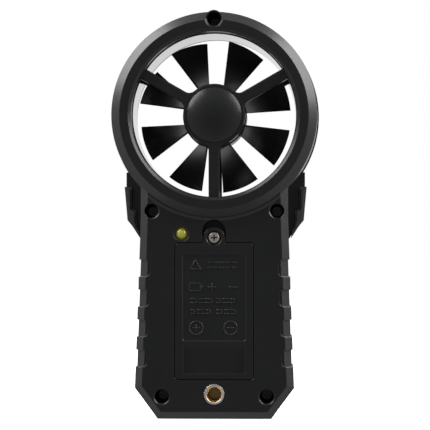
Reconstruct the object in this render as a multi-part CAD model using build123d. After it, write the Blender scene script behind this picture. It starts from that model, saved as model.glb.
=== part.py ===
from build123d import *
import os
from math import asin, cos, radians, sin, sqrt

# Hand-held vane anemometer, standing on the bottom end of its handle.
# +Z is up, -Y is the display side, +Y is the battery side, and the origin is the middle of the foot.
# All sizes are in millimetres.

# ---- overall sizes -------------------------------------------------------------------------------
handle_length = 81.0         # from the foot to the neck
head_diameter = 85.0
depth = 38.0
wall = 2.0
split_y = -2.0               # plane where the two halves of the case meet
neck_overlap = 1.0           # the rim of the head reaches this far below the neck
head_r = head_diameter / 2
neck_z = handle_length
head_z = neck_z - neck_overlap + head_r
height = head_z + head_r
back_y = depth / 2
front_y = -depth / 2
past = 1.0                   # cutters run this far past what they cut
seam_width = 0.5             # shadow gap round the handle where the two halves meet
seam_depth = 0.35

# ---- handle --------------------------------------------------------------------------------------
foot_half = 22.9             # half width of the flat foot
foot_corner_z = 12.4         # height where the slanted foot corners end
grip_half = 32.15            # half width just above the foot corners
neck_half = 29.75            # half width where the handle meets the head
neck_sink = 7.8              # the handle runs this far up inside the rim of the head
handle_top_z = head_z - sqrt(head_r ** 2 - neck_half ** 2) + neck_sink
handle_back_drop = 4.0       # the handle lies this far below the back face of the head
handle_front_drop = 3.0
handle_back_y = back_y - handle_back_drop
handle_front_y = front_y + handle_front_drop
handle_bevel = 3.0

# ---- shoulders of the front half and their pads --------------------------------------------------
shoulder_half = neck_half + 6.95
shoulder_top_z = neck_z + 13.0
shoulder_low_half = neck_half + 5.75
shoulder_low_z = neck_z - 0.7
shoulder_corner_half = neck_half + 3.7
shoulder_corner_z = neck_z - 3.2
shoulder_foot_half = neck_half + 0.4
shoulder_foot_z = neck_z - 8.3
shoulder_tuck = 2.0          # the lower end is buried this deep in the handle
shoulder_bevel = 1.8
pad_proud = 0.7              # pad stands this far out of the shoulder
pad_thick = 3.0
pad_front_y = -13.0
pad_back_rise = 0.9
pad_step = 0.8
pad_step_rise = 0.9
pad_jog = 0.6                # the pad is this much narrower above the jog in its inner edge
pad_jog_low_z = shoulder_low_z + 4.0
pad_jog_high_z = shoulder_low_z + 5.0

# ---- head ----------------------------------------------------------------------------------------
back_ring_less = 0.6         # the back ring is this much smaller in radius than the front ring
ring_draft = 0.4
ring_width = 9.5             # from the rim of the head to the duct
ring_slope = 4.5             # width of the slanted edge of the ring
ring_flat_r = head_r - ring_slope
ring_hollow_corner = 1.2     # the hollow's corner lies this far inside the ring's edge
ring_foot = 0.9              # small slanted foot where the back ring rises from the handle
ring_foot_root = 1.0
ring_foot_top = 0.2
duct_r = head_r - ring_width     # clear radius of the air duct
lip_chamfer = 1.1
lip_r = duct_r + 1.6
duct_lip_r = duct_r + 0.4
sleeve_wall = 1.2
sleeve_fit = 0.1
sleeve_half = depth / 2 - 7.2
duct_wall = 1.3
sleeve_seat_r = duct_r + sleeve_wall + sleeve_fit
duct_wall_r = sleeve_seat_r + duct_wall

# ---- spokes, hubs and caps -----------------------------------------------------------------------
spoke_count = 3
spoke_first_angle = 30.0
spoke_width = 4.5
spoke_depth = 3.5
spoke_flare = 3.0
hub_r = 12.5
hub_wall = 1.35
hub_floor = 1.5
hub_rim_drop = 3.5           # the hub's rim lies this far below the face of the head
hub_rim = depth / 2 - hub_rim_drop
hub_length = 6.5
hub_inner_face = hub_rim - hub_length    # distance from the middle of the duct
hub_edge_drop = 1.0          # the hub's own edge lies this far below the rim of the spokes
spoke_chamfer = 0.4
cap_fit = 0.05
cap_skirt = 1.1
cap_wall = 1.4
cap_wall_drop = 0.4
cap_ledge = 0.8              # ledge in the hub's cup that the cap sits on

# ---- impeller and bearings -----------------------------------------------------------------------
blade_count = 8
blade_first_angle = 24.6
blade_root_half = 1.85       # half width of a blade, seen along the shaft, where it leaves the hub
blade_tip_half = 7.55
blade_axial = 11.0
blade_thick = 0.8
blade_tip_r = duct_r - 1.8
blade_root_sink = 1.5        # the blades start this deep inside the hub
impeller_hub_r = 13.0
impeller_gap = 1.6           # free space between the impeller's hub and each case hub
impeller_hub_half = hub_inner_face - impeller_gap
impeller_hub_round = 0.8
shaft_r = 0.75
shaft_fit = 0.05
shaft_reach = 3.0            # the shaft runs this far into each hub
shaft_half = hub_inner_face + shaft_reach
bearing_r = 3.0
bearing_thick = 2.6
bearing_lip = 0.6
bearing_lip_width = 0.8
bearing_boss_r = 4.5
bearing_boss_len = 4.0
magnet_r = 1.5
magnet_len = 2.0
magnet_orbit_r = 6.5
magnet_inset = 0.6

# ---- speed pick-up in the front hub --------------------------------------------------------------
sensor_board_r = 9.4
sensor_board_thick = 1.0
hall_size = (4.0, 1.5, 3.0)
ribbon_width = 1.4
ribbon_thick = 0.3
ribbon_room = 0.3
ribbon_start = 2.0           # the ribbon starts this far inside the rim of the sensor board
ribbon_bend = 1.0            # and bends this far below the duct's wall
ribbon_land = 1.2            # length that lies on the main board
ribbon_land_inset = 0.2

# ---- case screws ---------------------------------------------------------------------------------
lower_screw = (21.1, 9.1)
upper_screw = (25.3, neck_z + 2.8)
top_screw_z = height - 4.1
top_collar_drop = 0.3        # the collar of the top screw ends this far below the back face
well_r = 2.8
well_rim_r = 3.45
well_chamfer = 0.55
well_floor_y = split_y + 2.0
screw_post_r = 3.9
front_post_r = 3.4
screw_head_r = 2.5
screw_head_thick = 1.8
screw_head_round = 0.6
screw_shank_r = 1.25
screw_hole_r = 1.6
screw_length = 11.0
screw_end_room = 0.5
cross_length = 1.15          # cross recess of every screw, as shares of the head's radius
cross_width = 0.28
cross_depth = 0.36

# ---- battery door --------------------------------------------------------------------------------
door_width = 31.6
door_height = 55.0
door_low_z = 15.9
door_corner_r = 1.5
door_thick = 2.2
door_gap = 0.25
door_seat_gap = 0.1
door_seat_width = 1.4
door_seat_thick = 1.5
door_edge = 0.3
tab_r = 4.35
tab_z = door_low_z + door_height + 2.1
panel_half = 12.8
panel_low_z = 31.3
panel_high_z = 66.3
panel_depth = 0.35
panel_slope = 0.3            # width of the slanted edge round the panel
panel_round = 1.0
thumb_half = 12.3
thumb_low_z = 18.2
thumb_high_z = 30.7
thumb_depth = 1.15          # depth of the scoop at its lower end
thumb_ramp_depth = 0.8       # and where its floor meets the ramp at its upper end
thumb_ramp = 2.4
thumb_draft = 0.4
tongue_x = 10.0
tongue_width = 4.0
tongue_reach = 1.6
tongue_thick = 0.9
tongue_under = 0.4           # gap between a tongue and the rim that holds it
tongue_root_low = 0.5        # the root of each tongue, above the door's lower edge
tongue_root_high = 2.4
tongue_room = 0.5
tongue_room_high = 4.7       # height of the tongues' slots above the door's lower edge
tongue_swing = 4.6           # free depth behind the rim for the swinging tongues
door_screw_head_r = 2.25
door_screw_head_thick = 1.3
door_screw_recess_r = 2.8
door_screw_recess_depth = 1.5
door_screw_recess_edge = 0.45
door_screw_edge = 0.3
door_screw_shank_r = 1.3
door_screw_hole_r = 1.6
door_screw_thread_r = 1.75
door_screw_length = 4.9
door_thread_length = 9.2
door_boss_r = 3.3
door_boss_length = 10.7
notch_r = 4.8                # arched finger notch above the door's tab
notch_rise = 2.4             # its centre lies this far above the tab's
notch_depth = 8.0
notch_wall = 1.4

# ---- battery and its compartment -----------------------------------------------------------------
battery_width = 26.5
battery_depth = 17.5
battery_length = 46.4
battery_round = 2.0
battery_room = 0.75
battery_low_z = 17.4
battery_back_y = handle_back_y - 3.8
compartment_wall = 1.2
stud_spacing = 12.7
stud_r = 2.8
stud_height = 2.1
snap_half = (12.6, 6.6)
snap_round = 5.0
snap_thick = 5.0
snap_room = 0.1
snap_head_room = 1.5
compartment_floor = 1.0
lead_r = 0.6
lead_hole_r = 1.2
lead_back = 3.4              # leads leave the snap this far in front of its middle
lead_turn_z = tab_z + 2.0
lead_bend_share = 0.45       # radius of the leads' bend, as a share of the run before it
foam_thick = 1.3
foam_size = (20.0, 34.0)
foam_round = 2.0

# ---- board, display and keys ---------------------------------------------------------------------
board_thick = 1.6
board_half = 26.0
board_low_z = 14.5
board_high_z = neck_z - 1.5
board_round = 1.5
glass_thick = 2.0
glass_gap = 0.2
backlight_thick = 2.2
glass_y = handle_front_y + wall + glass_gap
board_front_y = glass_y + glass_thick + backlight_thick
board_back_y = board_front_y + board_thick
display_z = neck_z - 18.2
lens_size = (44.0, 28.6)
lens_thick = 1.2
lens_sink = 0.1
lens_fit = 0.15
lens_round = 2.5
window_margin = 2.5
window_round = 1.0
glass_size = (42.0, 27.6)
connector_size = (36.0, 2.0)
connector_inset = 0.4
backlight_gap = 1.0
chip_size = (9.0, 1.2, 9.0)
chip_place = (20.5, 42.0)
key_columns = (-15.0, 0.0, 15.0)
key_rows = (36.5, 21.5)
key_size = (11.0, 7.6)
key_round = 3.0
key_fit = 0.3
key_proud = 1.3
key_travel = 1.0
key_flange = 1.2
key_flange_thick = 1.0
key_flange_gap = 0.1
key_edge = 0.5
key_stem_r = 1.5
switch_size = (6.0, 1.0, 6.0)
switch_button_r = 1.7
switch_button_high = 0.5
switch_gap = 0.3

# ---- light sensor and tripod insert --------------------------------------------------------------
sensor_x = 13.2
sensor_z = tab_z + 1.6
sensor_r = 2.5
sensor_fit = 0.2
sensor_proud = 0.3
sensor_chamfer = 0.6
sensor_boss_wall = 1.1
sensor_flange_fit = 0.1
sensor_flange_r = 2.9
sensor_body = 4.4
sensor_flange_thick = 1.0
sensor_lead = 0.5
sensor_lead_pitch = 2.54
insert_z = 10.0
insert_flange_r = 4.15
insert_flange_thick = 1.0
insert_proud = 0.2
insert_teeth = 34
insert_tooth = 0.25
insert_r = 3.5
insert_bore_r = 2.58         # crest radius of the 1/4-20 thread
insert_length = 9.0
insert_floor = 1.0
insert_flange_fit = 0.05
insert_chamfer = 0.4
insert_face_drop = 0.1
insert_boss_r = 5.2
boss_floor = 1.5
boss_sink = 0.5              # bosses end this far inside the back face

# ---- grip notches down both sides ----------------------------------------------------------------
grip_count = 4
grip_pitch = 12.1
grip_top_z = 60.7
grip_height = 6.9
grip_reach = 4.6
grip_depth = 0.6
grip_corner_r = 1.8
grip_past = 4.0


# ---- helpers -------------------------------------------------------------------------------------
def slab(outline, y_from, y_to):
    """Block with an outline drawn in X and Z, between two depths."""
    return extrude(Plane.XZ.offset(-y_to) * outline, amount=y_to - y_from)


def rod(radius, y_from, y_to, x=0.0, z=0.0):
    """Round rod along Y."""
    return slab(Pos(x, z) * Circle(radius), y_from, y_to)


def box(x_from, x_to, y_from, y_to, z_from, z_to):
    """Box between two corners."""
    middle = Pos((x_from + x_to) / 2, (y_from + y_to) / 2, (z_from + z_to) / 2)
    return middle * Box(x_to - x_from, y_to - y_from, z_to - z_from)


def turned(points, x=0.0, z=0.0):
    """Ring turned about an axis along Y; each point is a radius and a depth."""
    return Pos(x, 0, z) * revolve(make_face(Polyline(*points, close=True)), axis=Axis.Y)


def closed_outline(right_side):
    """Outline that is the same left and right, from its right-hand points."""
    left_side = [(-x, z) for x, z in reversed(right_side)]
    return make_face(Polyline(*right_side, *left_side, close=True))


def countersink(radius, chamfer_size, face_y, x, z):
    """Cutter that chamfers the mouth of a round hole in a face that looks towards +Y."""
    return turned([(0.0, face_y - chamfer_size), (radius, face_y - chamfer_size),
                   (radius + chamfer_size + past, face_y + past), (0.0, face_y + past)], x, z)


def front_of(solid):
    """The same shape on the display side."""
    return mirror(solid, about=Plane.XZ)


def save(name, shape):
    export_step(shape, f"parts/{name}.step")


# ---- outlines and blocks of the case -------------------------------------------------------------
def handle_outline(inset):
    outline = closed_outline([
        (foot_half, 0.0),
        (grip_half, foot_corner_z),
        (neck_half, neck_z),
        (neck_half, handle_top_z),
    ])
    return offset(outline, amount=-inset, kind=Kind.INTERSECTION) if inset else outline


def beveled_block(outline, y_open, y_face, bevel):
    """Block from the parting plane to a face whose edges are bevelled."""
    block = slab(outline, min(y_open, y_face), max(y_open, y_face))
    face = block.faces().sort_by(Axis.Y)[-1 if y_face > y_open else 0]
    return chamfer(face.edges(), length=bevel)


def back_block(inset):
    return beveled_block(handle_outline(inset), split_y, handle_back_y - inset, handle_bevel)


def front_block(inset):
    return beveled_block(handle_outline(inset), split_y, handle_front_y + inset, handle_bevel)


def shoulder_outline():
    return closed_outline([
        (shoulder_foot_half - shoulder_tuck, shoulder_foot_z - shoulder_tuck),
        (shoulder_foot_half, shoulder_foot_z),
        (shoulder_corner_half, shoulder_corner_z),
        (shoulder_low_half, shoulder_low_z),
        (shoulder_half, shoulder_top_z),
        (shoulder_half, handle_top_z),
    ])


def head_block(outer_r, face):
    """Solid disc of the head on the battery side, with the bevelled edge of its ring."""
    bevel_y = face - (outer_r - ring_draft - ring_flat_r)
    return turned([
        (0.0, 0.0),
        (outer_r, 0.0),
        (outer_r - ring_draft, bevel_y),
        (ring_flat_r, face),
        (0.0, face),
    ], z=head_z)


def head_cavity(outer_r, face):
    """Hollow of the ring between the duct wall and the outer wall."""
    inner_face = face - wall
    slope_y = inner_face - (outer_r - ring_draft - ring_flat_r)
    return turned([
        (duct_wall_r, 0.0),
        (outer_r - wall, 0.0),
        (outer_r - ring_draft - wall, slope_y),
        (ring_flat_r - ring_hollow_corner, inner_face),
        (duct_wall_r, inner_face),
    ], z=head_z)


def duct_opening(face):
    """The air's way: lip chamfer, short bore and the wider seat of the sleeve."""
    return turned([
        (0.0, 0.0),
        (sleeve_seat_r, 0.0),
        (sleeve_seat_r, sleeve_half),
        (duct_lip_r, sleeve_half),
        (duct_lip_r, face - lip_chamfer),
        (lip_r, face),
        (lip_r, face + past),
        (0.0, face + past),
    ], z=head_z)


def half_head(outer_r, y_parting):
    """Block, hollow and opening of one half of the head, reaching to the parting plane."""
    shapes = [make(outer_r, back_y) for make in (head_block, head_cavity)]
    opening = duct_opening(back_y)
    if y_parting < 0:
        block = shapes[0] + rod(outer_r, y_parting, 0.0, z=head_z)
        band = turned([(duct_wall_r, y_parting), (outer_r - wall, y_parting),
                       (outer_r - wall, 0.0), (duct_wall_r, 0.0)], z=head_z)
        bore = opening + rod(sleeve_seat_r, y_parting, 0.0, z=head_z)
        return block, shapes[1] + band, bore
    keep = box(-head_r - past, head_r + past, y_parting, back_y + 2 * past, head_z - head_r - past,
               height + past)
    return shapes[0] & keep, shapes[1] & keep, opening & keep


def spoke_star():
    """Spokes and hub of the battery side, with the hub's cup and bearing seat."""
    star = Circle(hub_r)
    for index in range(spoke_count):
        angle = spoke_first_angle + index * 360 / spoke_count
        reach = (duct_lip_r + duct_wall_r) / 2
        star += Rot(0, 0, angle) * Pos(reach / 2, 0) * Rectangle(reach, spoke_width)
    flares = [v for v in star.vertices() if Vector(v.X, v.Y, v.Z).length < (hub_r + lip_r) / 2]
    star = fillet(flares, radius=spoke_flare)
    spokes = slab(Pos(0, head_z) * star, hub_rim - spoke_depth, hub_rim)
    spokes = chamfer(spokes.faces().sort_by(Axis.Y)[-1].edges(), length=spoke_chamfer)
    hub = spokes + rod(hub_r, hub_inner_face, hub_rim - hub_edge_drop, z=head_z)
    cup_r = hub_r - hub_wall
    hub -= rod(cup_r, hub_rim - cap_skirt, hub_rim + past, z=head_z)
    hub -= rod(cup_r - cap_ledge, hub_inner_face + hub_floor, hub_rim, z=head_z)
    hub += rod(bearing_boss_r, hub_inner_face, hub_inner_face + bearing_boss_len, z=head_z)
    hub -= rod(bearing_r, hub_inner_face + bearing_lip, hub_rim, z=head_z)
    return hub - rod(bearing_r - bearing_lip_width, 0.0, hub_rim, z=head_z)


def grip_notches(block, core):
    """Shallow pockets that wrap round both long edges of a block."""
    cutters = []
    for index in range(grip_count):
        z = grip_top_z - index * grip_pitch
        inner = grip_half - (grip_half - neck_half) * (z - foot_corner_z) / (neck_z - foot_corner_z)
        inner -= grip_reach
        pocket = RectangleRounded(2 * grip_reach + grip_past, grip_height, grip_corner_r)
        for side in (-1, 1):
            centre = Pos(side * (inner + grip_reach + grip_past / 2), z)
            cutters.append(slab(centre * pocket, front_y, back_y))
    for cutter in cutters:
        block -= cutter - core
    return block


def screw_places():
    """Centres of the five case screws."""
    pairs = [(side * x, z) for x, z in (lower_screw, upper_screw) for side in (-1, 1)]
    return pairs + [(0.0, top_screw_z)]


# ---- battery door and the features it fits -------------------------------------------------------
def door_outline(grow=0.0):
    middle_z = door_low_z + door_height / 2
    plate = RectangleRounded(door_width + 2 * grow, door_height + 2 * grow, door_corner_r + grow)
    tab = Pos(0, tab_z) * Circle(tab_r + grow)
    bridge_low_z = door_low_z + door_height - door_corner_r
    bridge = Pos(0, (tab_z + bridge_low_z) / 2) * Rectangle(2 * (tab_r + grow), tab_z - bridge_low_z)
    return Pos(0, middle_z) * plate + tab + bridge


def compartment_block(grow, y_floor, y_mouth):
    half = battery_width / 2 + battery_room + grow
    low_z = battery_low_z - battery_room - grow
    high_z = battery_low_z + battery_length + snap_thick + snap_head_room + grow
    return box(-half, half, y_floor, y_mouth, low_z, high_z)


def tongue_boxes(side_room, y_from, y_to, z_from, z_to):
    half = tongue_width / 2 + side_room
    boxes = [box(x - half, x + half, y_from, y_to, z_from, z_to) for x in (-tongue_x, tongue_x)]
    return boxes[0] + boxes[1]


door_inner_y = handle_back_y - door_thick
seat_y = door_inner_y - door_seat_gap
rim_inner_y = handle_back_y - wall
tongue_back_y = rim_inner_y - tongue_under
compartment_floor_y = battery_back_y - battery_depth - snap_room


def thumb_scoop():
    """Cutter of the thumb recess: a slanted floor with a steep lower end and a ramp at its top."""
    side = [
        (handle_back_y + past, thumb_low_z),
        (handle_back_y, thumb_low_z),
        (handle_back_y - thumb_depth, thumb_low_z + thumb_draft),
        (handle_back_y - thumb_ramp_depth, thumb_high_z - thumb_ramp),
        (handle_back_y, thumb_high_z),
        (handle_back_y + past, thumb_high_z),
    ]
    profile = make_face(Polyline(*side, close=True))
    return extrude(Plane.YZ.offset(-thumb_half) * profile, amount=2 * thumb_half)


def battery_door():
    door = slab(door_outline(), door_inner_y, handle_back_y)
    door = chamfer(door.faces().sort_by(Axis.Y)[-1].edges(), length=door_edge)
    panel = RectangleRounded(2 * panel_half, panel_high_z - panel_low_z, panel_round)
    panel_place = Pos(0, (panel_high_z + panel_low_z) / 2)
    panel_cut = slab(panel_place * panel, handle_back_y - panel_depth, handle_back_y + past)
    door -= chamfer(panel_cut.faces().sort_by(Axis.Y)[0].edges(), length=panel_slope)
    door -= thumb_scoop()
    recess_floor_y = handle_back_y - door_screw_recess_depth
    door -= rod(door_screw_recess_r, recess_floor_y, handle_back_y + past, z=tab_z)
    door -= countersink(door_screw_recess_r, door_screw_recess_edge, handle_back_y, 0.0, tab_z)
    door -= rod(door_screw_hole_r, door_inner_y - past, handle_back_y, z=tab_z)
    tongue_low_z = door_low_z - tongue_reach
    tongue_front_y = tongue_back_y - tongue_thick
    root_low_z, root_high_z = door_low_z + tongue_root_low, door_low_z + tongue_root_high
    door += tongue_boxes(0.0, tongue_front_y, tongue_back_y, tongue_low_z, root_high_z)
    return door + tongue_boxes(0.0, tongue_front_y, door_inner_y, root_low_z, root_high_z)


def door_screw():
    floor_y = handle_back_y - door_screw_recess_depth
    head_y = floor_y + door_screw_head_thick
    screw = rod(door_screw_head_r, floor_y, head_y, z=tab_z)
    screw = chamfer(screw.faces().sort_by(Axis.Y)[-1].edges(), length=door_screw_edge)
    screw -= cross_slot(0.0, tab_z, head_y, door_screw_head_r)
    return screw + rod(door_screw_shank_r, floor_y - door_screw_length, floor_y, z=tab_z)


def cross_slot(x, z, y_top, head_radius):
    """Cross recess of a screw head."""
    long, short = head_radius * cross_length / 2, head_radius * cross_width / 2
    floor_y = y_top - head_radius * cross_depth
    return (box(x - long, x + long, floor_y, y_top + past, z - short, z + short)
            + box(x - short, x + short, floor_y, y_top + past, z - long, z + long))


# ---- case halves ---------------------------------------------------------------------------------
sensor_base_y = handle_back_y + sensor_proud - sensor_r - sensor_body
snap_top_z = battery_low_z + battery_length + snap_thick
lead_y = battery_back_y - battery_depth / 2 - lead_back


def finger_notch(grow=0.0):
    """Arched notch above the door's tab, round the boss of the door's screw."""
    radius = notch_r + grow
    centre_z = tab_z + notch_rise
    arch = Pos(0, centre_z) * Circle(radius)
    arch += Pos(0, (centre_z + tab_z) / 2) * Rectangle(2 * radius, notch_rise)
    cut = slab(arch, handle_back_y - notch_depth - grow, handle_back_y + past)
    return cut if grow else cut - rod(door_boss_r, handle_back_y - notch_depth, seat_y, z=tab_z)


def back_bosses():
    """Walls and bosses inside the rear half, before their holes are cut."""
    bosses = compartment_block(compartment_wall, compartment_floor_y - compartment_floor, seat_y)
    bosses += slab(door_outline(door_seat_width), seat_y - door_seat_thick, seat_y)
    bosses += finger_notch(notch_wall)
    bosses += rod(door_boss_r, seat_y - door_boss_length, seat_y, z=tab_z)
    for x, z in screw_places():
        bosses += rod(screw_post_r, split_y, handle_back_y - boss_sink, x, z)
    bosses += rod(insert_boss_r, handle_back_y - insert_length - boss_floor, handle_back_y - boss_sink,
                  z=insert_z)
    return bosses + rod(sensor_flange_r + sensor_boss_wall, sensor_base_y, handle_back_y - boss_sink,
                        sensor_x, sensor_z)


def rear_cover():
    back_ring_r = head_r - back_ring_less
    ring, ring_hollow, duct = half_head(back_ring_r, split_y)
    foot = turned([
        (back_ring_r - ring_foot_root, handle_back_y - boss_sink),
        (back_ring_r + ring_foot, handle_back_y - boss_sink),
        (back_ring_r + ring_foot, handle_back_y),
        (back_ring_r - ring_foot_top, handle_back_y + ring_foot),
        (back_ring_r - ring_foot_root, handle_back_y + ring_foot),
    ], z=head_z)
    envelope = back_block(0.0) + ring + (foot & slab(handle_outline(handle_bevel), 0.0, back_y))
    hollow = back_block(wall) - rod(duct_wall_r, split_y - past, back_y, z=head_z)
    cover = envelope - (hollow + ring_hollow)

    cover += back_bosses() & envelope
    cover += rod(well_rim_r, handle_back_y, back_y - top_collar_drop, z=top_screw_z)

    cover -= compartment_block(0.0, compartment_floor_y, door_inner_y)
    cover -= slab(door_outline(door_gap), seat_y, handle_back_y + past)
    cover -= finger_notch() - rod(back_ring_r, split_y, back_y, z=head_z)
    swing_y = rim_inner_y - tongue_swing
    swing_low_z = door_low_z - tongue_reach - tongue_room
    swing_high_z = door_low_z + tongue_room_high
    cover -= tongue_boxes(tongue_room, swing_y, rim_inner_y, swing_low_z, swing_high_z)
    cover -= tongue_boxes(tongue_room, swing_y, seat_y, door_low_z, swing_high_z)
    for x, z in screw_places():
        face_y = back_y - top_collar_drop if z == top_screw_z else handle_back_y
        cover -= rod(well_r, well_floor_y, back_y + past, x, z)
        cover -= rod(screw_hole_r, split_y - past, well_floor_y + past, x, z)
        cover -= countersink(well_r, well_chamfer, face_y, x, z)
    cover -= rod(door_screw_thread_r, seat_y - door_thread_length, seat_y + past, z=tab_z)
    cover -= rod(insert_r, handle_back_y - insert_length, handle_back_y + past, z=insert_z)
    cover -= rod(insert_flange_r + insert_flange_fit, handle_back_y - insert_flange_thick + insert_proud,
                 handle_back_y + past, z=insert_z)
    for x in (-stud_spacing / 2, stud_spacing / 2):
        cover -= Pos(x, lead_y, snap_top_z) * Cylinder(lead_hole_r, 2 * (lead_turn_z - snap_top_z))
    cover -= rod(sensor_r + sensor_fit, split_y, back_y, sensor_x, sensor_z)
    cover -= rod(sensor_flange_r + sensor_flange_fit, split_y, sensor_base_y + sensor_flange_thick,
                 sensor_x, sensor_z)
    cover -= countersink(sensor_r + sensor_fit, sensor_chamfer, handle_back_y, sensor_x, sensor_z)
    cover = grip_notches(cover, back_block(grip_depth))
    gap = slab(handle_outline(0.0), split_y - past, split_y + seam_width)
    gap -= slab(handle_outline(grip_depth + seam_depth), split_y - past, split_y + seam_width)
    cover -= gap - rod(head_r, split_y - past, back_y, z=head_z)
    cover -= duct
    return cover + spoke_star()


def pad_outline(side, inset=0.0):
    """Outline of one shoulder pad, from its top corner down the outside and back up."""
    outer = [
        (shoulder_half + pad_proud, shoulder_top_z),
        (shoulder_low_half + pad_proud, shoulder_low_z),
        (shoulder_corner_half + pad_proud, shoulder_corner_z),
        (shoulder_foot_half + pad_proud, shoulder_foot_z),
    ]
    inner = [
        (shoulder_low_half - pad_thick, shoulder_low_z),
        (shoulder_low_half - pad_thick, pad_jog_low_z),
        (shoulder_half - pad_thick + pad_jog, pad_jog_high_z),
        (shoulder_half - pad_thick + pad_jog, shoulder_top_z),
    ]
    outline = make_face(Polyline(*[(side * x, z) for x, z in outer + inner], close=True))
    return offset(outline, amount=-inset, kind=Kind.INTERSECTION) if inset else outline


def shoulder_grip(side):
    pad = slab(pad_outline(side), pad_front_y, split_y + pad_back_rise)
    return pad + slab(pad_outline(side, pad_step), pad_front_y + pad_step,
                      split_y + pad_back_rise + pad_step_rise)


def front_cover():
    ring, ring_hollow, duct = [front_of(shape) for shape in half_head(head_r, -split_y)]
    shoulders = beveled_block(shoulder_outline(), split_y, handle_front_y, shoulder_bevel)
    body = front_block(0.0)
    body = grip_notches(body, front_block(grip_depth))
    cover = body + shoulders + ring
    envelope = cover
    hollow = front_block(wall) - rod(duct_wall_r, front_y, split_y + past, z=head_z)
    cover -= hollow + ring_hollow

    posts = None
    for x, z in screw_places():
        post = rod(front_post_r, front_y, split_y, x, z)
        posts = post if posts is None else posts + post
    cover += posts & envelope
    for x, z in screw_places():
        cover -= rod(screw_shank_r, well_floor_y - screw_length - screw_end_room, split_y + past, x, z)

    lens_place = Pos(0, display_z)
    lens_pocket = RectangleRounded(lens_size[0] + 2 * lens_fit, lens_size[1] + 2 * lens_fit, lens_round)
    cover -= slab(lens_place * lens_pocket, handle_front_y - past, handle_front_y + lens_thick + lens_sink)
    window = RectangleRounded(lens_size[0] - 2 * window_margin, lens_size[1] - 2 * window_margin,
                              window_round)
    cover -= slab(lens_place * window, handle_front_y - past, handle_front_y + wall + past)
    for x in key_columns:
        for z in key_rows:
            hole = RectangleRounded(key_size[0] + 2 * key_fit, key_size[1] + 2 * key_fit,
                                    key_round + key_fit)
            cover -= slab(Pos(x, z) * hole, handle_front_y - past, handle_front_y + wall + past)
    for side in (-1, 1):
        cover -= slab(pad_outline(side), pad_front_y, split_y + past)
    cover -= duct

    cover += front_of(spoke_star())
    channel_y = sensor_board_y - ribbon_thick
    half = ribbon_width / 2 + ribbon_room
    cover -= box(-half, half, channel_y - ribbon_room, -hub_rim + spoke_depth + 2 * ribbon_room,
                 head_z - duct_wall_r - past, head_z - hub_r + hub_wall + past)
    return cover


# ---- pieces of the head --------------------------------------------------------------------------
sensor_board_y = -(hub_inner_face + bearing_boss_len + sensor_board_thick)


def duct_sleeve():
    return turned([(duct_r, -sleeve_half), (duct_r + sleeve_wall, -sleeve_half),
                   (duct_r + sleeve_wall, sleeve_half), (duct_r, sleeve_half)], z=head_z)


def cap_solid(radius, base_y, rim_y, top_y):
    """Round plug whose end is a shallow dome."""
    rise = top_y - rim_y
    ball_r = (radius ** 2 + rise ** 2) / (2 * rise)
    half_angle = asin(radius / ball_r) / 2
    middle = (ball_r * sin(half_angle), top_y - ball_r + ball_r * cos(half_angle))
    sides = Polyline((0, top_y), (0, base_y), (radius, base_y), (radius, rim_y))
    dome = ThreePointArc((radius, rim_y), middle, (0, top_y))
    return Pos(0, 0, head_z) * revolve(make_face(sides + dome), axis=Axis.Y)


def hub_cap():
    radius = hub_r - hub_wall - cap_fit
    base_y = hub_rim - cap_skirt
    shell = cap_solid(radius, base_y, hub_rim, back_y)
    return shell - cap_solid(radius - cap_wall, base_y - past, hub_rim - cap_wall_drop, back_y - cap_wall)


def bearing():
    seat_y = hub_inner_face + bearing_lip
    ring = rod(bearing_r, seat_y, seat_y + bearing_thick, z=head_z)
    return ring - rod(shaft_r + shaft_fit, seat_y - past, seat_y + bearing_thick + past, z=head_z)


def blade(angle):
    """One pitched blade that widens to its tip, its +Y edge towards the smaller angle."""
    faces = []
    widening = (blade_tip_half - blade_root_half) / (blade_tip_r - impeller_hub_r)
    for radius in (impeller_hub_r - blade_root_sink, head_r):
        half_width = blade_root_half + widening * (radius - impeller_hub_r)
        chord = sqrt(half_width ** 2 + (blade_axial / 2) ** 2)
        off_z = blade_axial / 2 / chord * blade_thick / 2
        off_y = half_width / chord * blade_thick / 2
        corners = [(radius, blade_axial / 2 + off_y, -half_width + off_z),
                   (radius, -blade_axial / 2 + off_y, half_width + off_z),
                   (radius, -blade_axial / 2 - off_y, half_width - off_z),
                   (radius, blade_axial / 2 - off_y, -half_width - off_z)]
        faces.append(make_face(Polyline(*corners, close=True)))
    return Rot(0, -angle, 0) * loft(faces, ruled=True)


def impeller():
    blades = blade(blade_first_angle)
    for index in range(1, blade_count):
        blades += blade(blade_first_angle + index * 360 / blade_count)
    blades = blades & rod(blade_tip_r, -impeller_hub_half, impeller_hub_half)
    hub = rod(impeller_hub_r, -impeller_hub_half, impeller_hub_half)
    hub = fillet(hub.edges(), radius=impeller_hub_round)
    rotor = hub + blades
    rotor -= rod(shaft_r, -impeller_hub_half - past, impeller_hub_half + past)
    for x in (-magnet_orbit_r, magnet_orbit_r):
        rotor -= rod(magnet_r, -impeller_hub_half - past, -impeller_hub_half + magnet_inset + magnet_len, x)
    return Pos(0, 0, head_z) * rotor


def impeller_magnets():
    y_from = -impeller_hub_half + magnet_inset
    magnets = [rod(magnet_r, y_from, y_from + magnet_len, x, head_z)
               for x in (-magnet_orbit_r, magnet_orbit_r)]
    return Compound(children=magnets)


def sensor_board():
    board = rod(sensor_board_r, sensor_board_y, sensor_board_y + sensor_board_thick, z=head_z)
    return board - rod(bearing_r, sensor_board_y - past, 0.0, z=head_z)


def hall_sensor():
    back = sensor_board_y + sensor_board_thick
    half_x, half_z = hall_size[0] / 2, hall_size[2] / 2
    return box(magnet_orbit_r - half_x, magnet_orbit_r + half_x, back, back + hall_size[1],
               head_z - half_z, head_z + half_z)


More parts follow.
